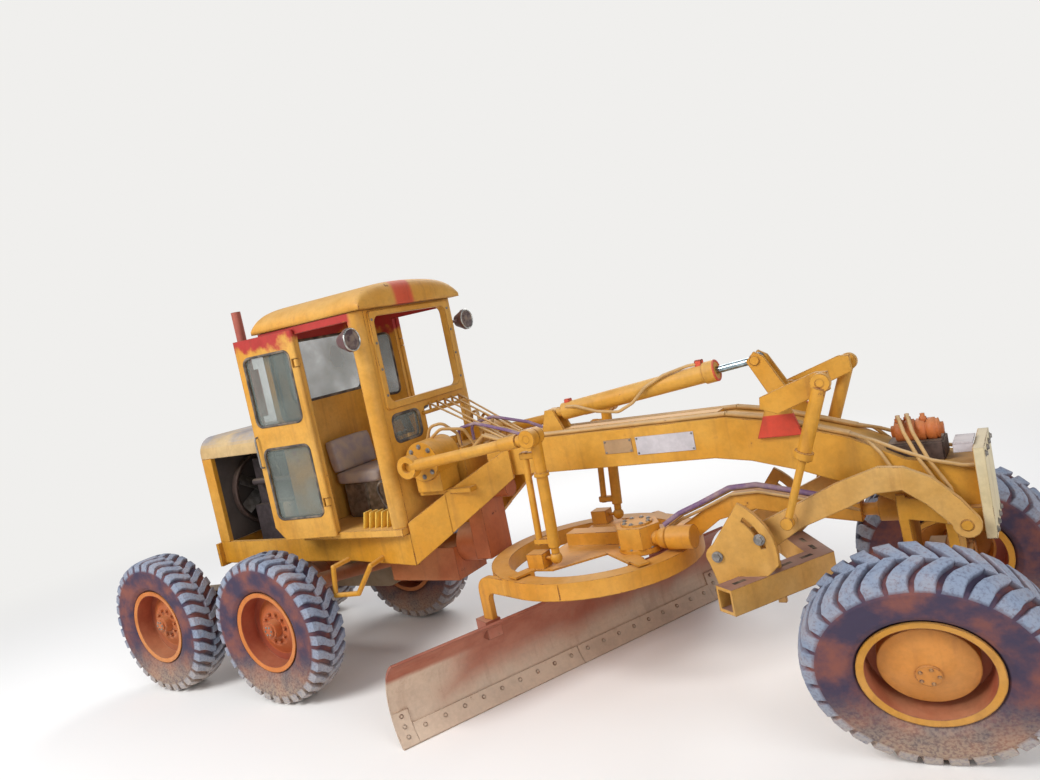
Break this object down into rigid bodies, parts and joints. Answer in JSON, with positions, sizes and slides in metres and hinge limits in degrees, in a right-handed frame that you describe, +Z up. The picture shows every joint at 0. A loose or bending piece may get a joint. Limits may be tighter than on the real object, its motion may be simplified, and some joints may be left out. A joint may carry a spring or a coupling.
{
  "type": "motor grader",
  "caption": "Six-wheel motor grader with tandem drive, open-sided hood, hollow cab, circle and moldboard, front scarifier and leaning, steered front wheels.",
  "frame": {"origin": "on the ground under the middle of the machine's box, on its centreline", "axes": "+X towards the front axle, +Y to the machine's left, +Z up"},
  "size_m": [7.5246, 2.8499, 3.24],
  "materials": {
    "yellow_paint": "faded semi-matt machine yellow with chips and dust",
    "orange_paint": "faded orange",
    "red_primer": "worn red-brown",
    "rusted_steel": "rust-brown worn paint",
    "tyre_rubber": "dusty rubber",
    "bare_steel": "worn bare steel",
    "chrome_rod": "polished rod",
    "engine_paint": "oily dark iron",
    "window_glass": "dusty glass",
    "seat_vinyl": "cracked vinyl",
    "lamp": "dull grey"
  },
  "bodies": {
    "frame": {"main_beam": "yellow_paint", "front_bolster": "yellow_paint", "rear_frame": "yellow_paint", "drivetrain": "engine_paint", "engine": "engine_paint", "radiator": "yellow_paint", "hood": "yellow_paint", "exhaust": "red_primer", "cab_floor": "yellow_paint", "cab_roof": "yellow_paint", "cab_front": "yellow_paint", "cab_sides": "yellow_paint", "cab_rear": "yellow_paint", "cab_glass": "window_glass", "seat": "seat_vinyl", "controls": "engine_paint", "work_lamps": "lamp", "valve_bank": "yellow_paint", "hydraulic_lines": "yellow_paint"},
    "fan": {"fan": "bare_steel"},
    "door_right": {"door_right": "yellow_paint", "door_glass_right": "window_glass"},
    "door_left": {"door_left": "yellow_paint", "door_glass_left": "window_glass"},
    "tandem_right": {"tandem_right": "yellow_paint"},
    "tandem_left": {"tandem_left": "yellow_paint"},
    "rear_wheel_rr": {"rear_tyre_rr": "tyre_rubber", "rear_rim_rr": "orange_paint"},
    "rear_wheel_rf": {"rear_tyre_rf": "tyre_rubber", "rear_rim_rf": "orange_paint"},
    "rear_wheel_lr": {"rear_tyre_lr": "tyre_rubber", "rear_rim_lr": "orange_paint"},
    "rear_wheel_lf": {"rear_tyre_lf": "tyre_rubber", "rear_rim_lf": "orange_paint"},
    "front_axle": {"front_axle": "yellow_paint"},
    "lean_yoke_right": {"lean_yoke_right": "yellow_paint"},
    "lean_yoke_left": {"lean_yoke_left": "yellow_paint"},
    "lean_bar": {"lean_bar": "yellow_paint"},
    "knuckle_right": {"knuckle_right": "yellow_paint"},
    "knuckle_left": {"knuckle_left": "yellow_paint"},
    "tie_rod": {"tie_rod": "yellow_paint"},
    "front_wheel_right": {"front_tyre_right": "tyre_rubber", "front_rim_right": "orange_paint"},
    "front_wheel_left": {"front_tyre_left": "tyre_rubber", "front_rim_left": "orange_paint"},
    "drawbar": {"drawbar": "yellow_paint"},
    "circle": {"circle": "yellow_paint", "moldboard": "rusted_steel"},
    "lift_arm_right": {"lift_arm_right": "yellow_paint"},
    "lift_arm_left": {"lift_arm_left": "yellow_paint"},
    "lift_link_right": {"lift_link_right": "yellow_paint"},
    "lift_link_left": {"lift_link_left": "yellow_paint"},
    "scarifier": {"scarifier": "yellow_paint"},
    "bellcrank": {"bellcrank": "yellow_paint"},
    "scarifier_links": {"scarifier_links": "yellow_paint"},
    "scarifier_barrel": {"scarifier_barrel": "yellow_paint"},
    "scarifier_rod": {"scarifier_rod": "chrome_rod"}
  },
  "joints": [
    {"name": "fan_spin", "type": "hinge", "parent": "frame", "child": "fan", "pos_m": [-2.53206, 0, 1.6], "axis": [1, 0, 0], "continuous": true},
    {"name": "door_right_swing", "type": "hinge", "parent": "frame", "child": "door_right", "pos_m": [-1.04506, -0.635, 2], "axis": [0, 0, 1], "range_deg": [0, 174]},
    {"name": "door_left_swing", "type": "hinge", "parent": "frame", "child": "door_left", "pos_m": [-1.04506, 0.635, 2], "axis": [0, 0, -1], "range_deg": [0, 174]},
    {"name": "tandem_right_rock", "type": "hinge", "parent": "frame", "child": "tandem_right", "pos_m": [-2.41706, -0.452, 0.612], "axis": [0, 1, 0], "range_deg": [-10, 10]},
    {"name": "tandem_left_rock", "type": "hinge", "parent": "frame", "child": "tandem_left", "pos_m": [-2.41706, 0.452, 0.612], "axis": [0, 1, 0], "range_deg": [-10, 10]},
    {"name": "rear_wheel_rr_spin", "type": "hinge", "parent": "tandem_right", "child": "rear_wheel_rr", "pos_m": [-3.15506, -0.864, 0.612], "axis": [0, 1, 0], "continuous": true},
    {"name": "rear_wheel_rf_spin", "type": "hinge", "parent": "tandem_right", "child": "rear_wheel_rf", "pos_m": [-1.67906, -0.864, 0.612], "axis": [0, 1, 0], "continuous": true},
    {"name": "rear_wheel_lr_spin", "type": "hinge", "parent": "tandem_left", "child": "rear_wheel_lr", "pos_m": [-3.15506, 0.864, 0.612], "axis": [0, 1, 0], "continuous": true},
    {"name": "rear_wheel_lf_spin", "type": "hinge", "parent": "tandem_left", "child": "rear_wheel_lf", "pos_m": [-1.67906, 0.864, 0.612], "axis": [0, 1, 0], "continuous": true},
    {"name": "front_axle_rock", "type": "hinge", "parent": "frame", "child": "front_axle", "pos_m": [3.14294, 0, 0.8], "axis": [1, 0, 0], "range_deg": [-10, 10]},
    {"name": "wheel_lean", "type": "hinge", "parent": "front_axle", "child": "lean_yoke_right", "pos_m": [3.14294, -0.82692, 0.49574], "axis": [-1, 0, 0], "range_deg": [0, 36]},
    {"name": "wheel_lean_left", "type": "hinge", "parent": "front_axle", "child": "lean_yoke_left", "pos_m": [3.14294, 0.82692, 0.49574], "axis": [-1, 0, 0], "range_deg": [0, 36]},
    {"name": "lean_bar_swing", "type": "hinge", "parent": "lean_yoke_right", "child": "lean_bar", "pos_m": [3.24294, -0.86864, 0.62413], "axis": [-1, 0, 0], "range_deg": [-36, 0]},
    {"name": "steering", "type": "hinge", "parent": "lean_yoke_right", "child": "knuckle_right", "pos_m": [3.14294, -0.82692, 0.49574], "axis": [0, -0.309, 0.9511], "range_deg": [-36, 24]},
    {"name": "steering_left", "type": "hinge", "parent": "lean_yoke_left", "child": "knuckle_left", "pos_m": [3.14294, 0.82692, 0.49574], "axis": [0, -0.309, 0.9511], "range_deg": [-36, 24]},
    {"name": "tie_rod_slide", "type": "slide", "parent": "lean_bar", "child": "tie_rod", "axis": [0, -1, 0], "range_m": [-0.06775, 0.0452]},
    {"name": "front_wheel_right_spin", "type": "hinge", "parent": "knuckle_right", "child": "front_wheel_right", "pos_m": [3.14294, -0.864, 0.60986], "axis": [-0.1045, 0.9458, 0.3073], "continuous": true},
    {"name": "front_wheel_left_spin", "type": "hinge", "parent": "knuckle_left", "child": "front_wheel_left", "pos_m": [3.14294, 0.78984, 0.60986], "axis": [-0.1045, 0.9458, 0.3073], "continuous": true},
    {"name": "drawbar_lift", "type": "hinge", "parent": "frame", "child": "drawbar", "pos_m": [2.88694, 0, 1.12], "axis": [0, 1, 0], "range_deg": [0, 8]},
    {"name": "circle_turn", "type": "hinge", "parent": "drawbar", "child": "circle", "pos_m": [0.89494, 0, 0.88], "axis": [0, 0, 1], "range_deg": [-19, 71]},
    {"name": "lift_arm_right_swing", "type": "hinge", "parent": "frame", "child": "lift_arm_right", "pos_m": [-0.15506, -0.62, 1.77], "axis": [0, 1, 0], "range_deg": [-15.82, 0.3]},
    {"name": "lift_link_right_swing", "type": "hinge", "parent": "lift_arm_right", "child": "lift_link_right", "pos_m": [0.91494, -0.54, 1.88], "axis": [0, 1, 0], "range_deg": [-0.3, 11.47]},
    {"name": "lift_arm_left_swing", "type": "hinge", "parent": "frame", "child": "lift_arm_left", "pos_m": [-0.15506, 0.62, 1.77], "axis": [0, 1, 0], "range_deg": [-15.82, 0.3]},
    {"name": "lift_link_left_swing", "type": "hinge", "parent": "lift_arm_left", "child": "lift_link_left", "pos_m": [0.91494, 0.54, 1.88], "axis": [0, 1, 0], "range_deg": [-0.3, 11.47]},
    {"name": "scarifier_lift", "type": "hinge", "parent": "frame", "child": "scarifier", "pos_m": [3.35494, 0, 1.1], "axis": [0, 1, 0], "range_deg": [-22, 3]},
    {"name": "bellcrank_turn", "type": "hinge", "parent": "frame", "child": "bellcrank", "pos_m": [2.43294, 0, 1.875], "axis": [0, 1, 0], "range_deg": [-8.54, 60.74]},
    {"name": "scarifier_links_swing", "type": "hinge", "parent": "bellcrank", "child": "scarifier_links", "pos_m": [2.75294, 0, 1.975], "axis": [0, 1, 0], "range_deg": [-63.97, 8.98]},
    {"name": "cylinder_swing", "type": "hinge", "parent": "frame", "child": "scarifier_barrel", "pos_m": [0.76494, 0, 1.935], "axis": [0, 1, 0], "range_deg": [-0.52, 0.64]},
    {"name": "rod_slide", "type": "slide", "parent": "scarifier_barrel", "child": "scarifier_rod", "axis": [0.9932, 0, 0.1161], "range_m": [-0.0389, 0.2727]}
  ],
  "couplings": [
    {"joint": "wheel_lean_left", "follows": "wheel_lean", "ratio": 1},
    {"joint": "lean_bar_swing", "follows": "wheel_lean", "ratio": -1},
    {"joint": "steering_left", "follows": "steering", "ratio": 1},
    {"joint": "tie_rod_slide", "follows": "steering", "m_per_rad": 0.10767},
    {"joint": "lift_arm_right_swing", "follows": "drawbar_lift", "ratio": -1.9396},
    {"joint": "lift_link_right_swing", "follows": "drawbar_lift", "ratio": 1.3964},
    {"joint": "lift_arm_left_swing", "follows": "drawbar_lift", "ratio": -1.9396},
    {"joint": "lift_link_left_swing", "follows": "drawbar_lift", "ratio": 1.3964},
    {"joint": "bellcrank_turn", "follows": "scarifier_lift", "ratio": -2.7475},
    {"joint": "scarifier_links_swing", "follows": "scarifier_lift", "ratio": 2.8941},
    {"joint": "cylinder_swing", "follows": "scarifier_lift", "ratio": -0.0065},
    {"joint": "rod_slide", "follows": "scarifier_lift", "m_per_rad": -0.70494}
  ]
}
